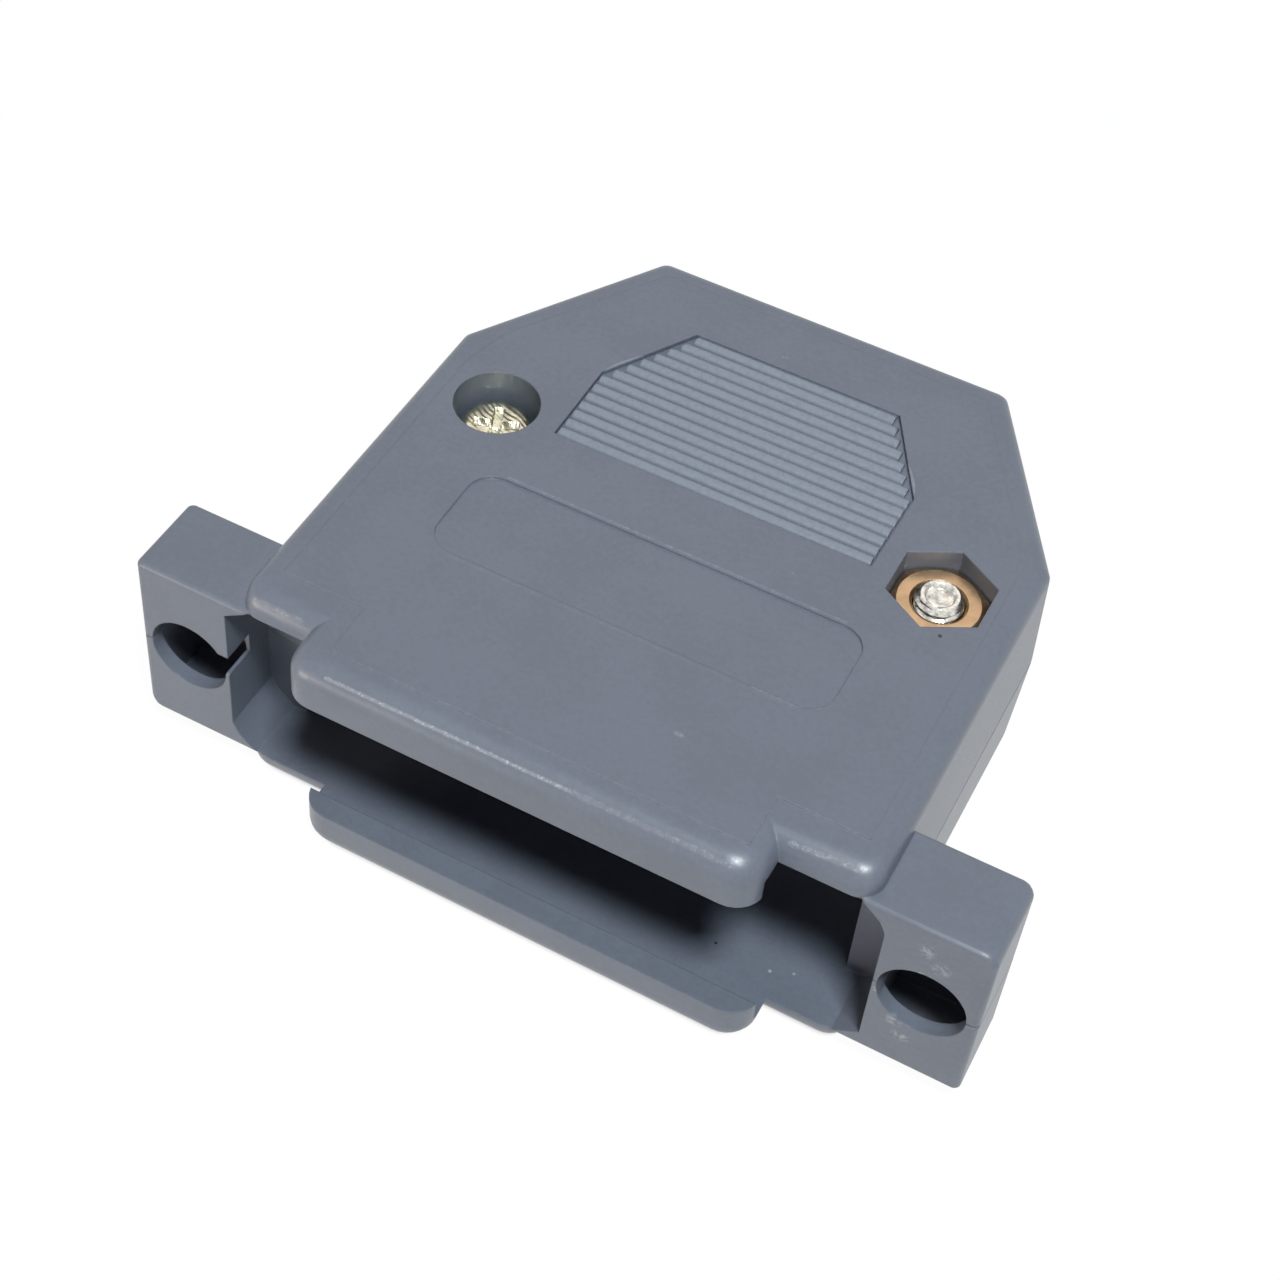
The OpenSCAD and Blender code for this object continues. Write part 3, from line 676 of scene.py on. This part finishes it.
view = {
    "place": (34.655, -91.193, 117.429),   # millimetres
    "turn": (43.4996, -3.3111, 28.1730),   # degrees
    "lens": 67.009,
    "shift": (0.0405, -0.1),   # the photograph is a crop, off the lens's own middle
    "sensor": 36,
    "clip": (0.005, 20),       # metres
}
camera = bpy.data.objects.new("camera", bpy.data.cameras.new("camera"))
bpy.context.scene.collection.objects.link(camera)
camera.location = Vector(view["place"]) * mm
camera.rotation_euler = [math.radians(angle) for angle in view["turn"]]
camera.data.lens = view["lens"]
camera.data.shift_x, camera.data.shift_y = view["shift"]
camera.data.sensor_width = view["sensor"]
camera.data.clip_start, camera.data.clip_end = view["clip"]
bpy.context.scene.camera = camera

studio = {
    "floorHalf": 3.0,         # metres
    "floorTint": (0.84, 0.83, 0.80),
    "shadowShare": 0.04,      # how much of the floor's shown brightness answers to light
    # painted contact shadow: the floor's shown brightness darkens close to the part
    "contactShadowReach": 0.4 * mm,
    "contactShadowShare": 0.5,
    "contactShadowLevels": (0.25, 0.95),
    "contactShadowSamples": 8,
    "litLevel": 0.85,         # what the lamps give the floor, for the shown brightness to come out white
    "skyColour": (0.9, 0.96, 1.0),
    "skyStrength": 0.012,
    "lampAim": 8 * mm,        # height above the floor that the lamps point at
}


def shownRays(tree):  # 1 where the background itself is seen, also in gloss and glass
    rays = addNode(tree, "ShaderNodeLightPath")
    shown = mathNode(tree, "MAXIMUM", rays.outputs["Is Camera Ray"], rays.outputs["Is Glossy Ray"])
    return mathNode(tree, "MAXIMUM", shown, rays.outputs["Is Transmission Ray"])


def paleFloor():
    material, tree = emptyMaterial("paleFloor")
    output = addNode(tree, "ShaderNodeOutputMaterial", (600, 0))
    bounce = addNode(tree, "ShaderNodeBsdfDiffuse", (0, 200))
    bounce.inputs["Color"].default_value = (*studio["floorTint"], 1)
    share = studio["shadowShare"]
    seen = addNode(tree, "ShaderNodeBsdfDiffuse", (0, 0))
    seen.inputs["Color"].default_value = (share, share, share, 1)
    # painted contact shadow from occlusion, in the floor's shown glow
    near = addNode(tree, "ShaderNodeAmbientOcclusion", samples=studio["contactShadowSamples"], inputs={
        "Distance": studio["contactShadowReach"]})
    contactShadowFactor = rangeNode(tree, near.outputs["AO"], *studio["contactShadowLevels"], 1 - studio["contactShadowShare"], 1.0)
    glow = addNode(tree, "ShaderNodeEmission", (0, -200))
    tree.links.new(mathNode(tree, "MULTIPLY", contactShadowFactor, 1 - share * studio["litLevel"]), glow.inputs["Strength"])
    both = addNode(tree, "ShaderNodeAddShader", (200, -100))
    tree.links.new(seen.outputs[0], both.inputs[0])
    tree.links.new(glow.outputs[0], both.inputs[1])
    mix = addNode(tree, "ShaderNodeMixShader", (400, 0))
    tree.links.new(shownRays(tree), mix.inputs[0])
    tree.links.new(bounce.outputs[0], mix.inputs[1])
    tree.links.new(both.outputs[0], mix.inputs[2])
    tree.links.new(mix.outputs[0], output.inputs["Surface"])
    return material


half = studio["floorHalf"]
corners = [(-half, -half, 0), (half, -half, 0), (half, half, 0), (-half, half, 0)]
floorMesh = bpy.data.meshes.new("floor")
floorMesh.from_pydata(corners, [], [(0, 1, 2, 3)])
floorMesh.materials.append(paleFloor())
floor = bpy.data.objects.new("floor", floorMesh)
bpy.context.scene.collection.objects.link(floor)

lamps = [  # strength 1 shows a colour as it is written; far and size in metres, angles in degrees
    {"name": "smallSoftbox", "azimuth": 143, "elevation": 65.6, "far": 0.6, "size": (0.11, 0.11),
     "strength": 1.0, "tint": (0.90, 0.99, 1.0)},
    {"name": "lowLeftFill", "azimuth": -142, "elevation": 3, "far": 0.15, "size": (0.08, 0.012),
     "strength": 0.27, "tint": (1.0, 0.86, 0.72)},
    {"name": "warmBackLight", "azimuth": -21, "elevation": 50, "far": 0.5, "size": (0.3, 0.3),
     "strength": 0.03, "tint": (1.0, 0.66, 0.5)},
]


def areaLamp(lamp):
    light = bpy.data.lights.new(lamp["name"], "AREA")
    light.shape = "RECTANGLE"
    light.size, light.size_y = lamp["size"]
    light.energy = lamp["strength"] * math.pi ** 2 * lamp["far"] ** 2
    light.color = lamp["tint"]
    holder = bpy.data.objects.new(lamp["name"], light)
    bpy.context.scene.collection.objects.link(holder)
    a, e = math.radians(lamp["azimuth"]), math.radians(lamp["elevation"])
    away = Vector((math.sin(a) * math.cos(e), math.cos(a) * math.cos(e), math.sin(e)))
    holder.location = away * lamp["far"] + Vector((0, 0, studio["lampAim"]))
    holder.rotation_euler = away.to_track_quat("Z", "Y").to_euler()


for lamp in lamps:
    areaLamp(lamp)

world = bpy.data.worlds.new("paleRoom")
bpy.context.scene.world = world
world.use_nodes = True
sky = world.node_tree
sky.nodes.clear()
skyOut = addNode(sky, "ShaderNodeOutputWorld", (600, 0))
dim = addNode(sky, "ShaderNodeBackground", (200, 100), inputs={
    "Color": (*studio["skyColour"], 1), "Strength": studio["skyStrength"]})
bright = addNode(sky, "ShaderNodeBackground", (200, -100), inputs={"Color": (1, 1, 1, 1), "Strength": 1.0})
skyMix = addNode(sky, "ShaderNodeMixShader", (400, 0))
sky.links.new(shownRays(sky), skyMix.inputs[0])
sky.links.new(dim.outputs[0], skyMix.inputs[1])
sky.links.new(bright.outputs[0], skyMix.inputs[2])
sky.links.new(skyMix.outputs[0], skyOut.inputs["Surface"])
bpy.context.scene.view_settings.view_transform = "Standard"
print("stage set")
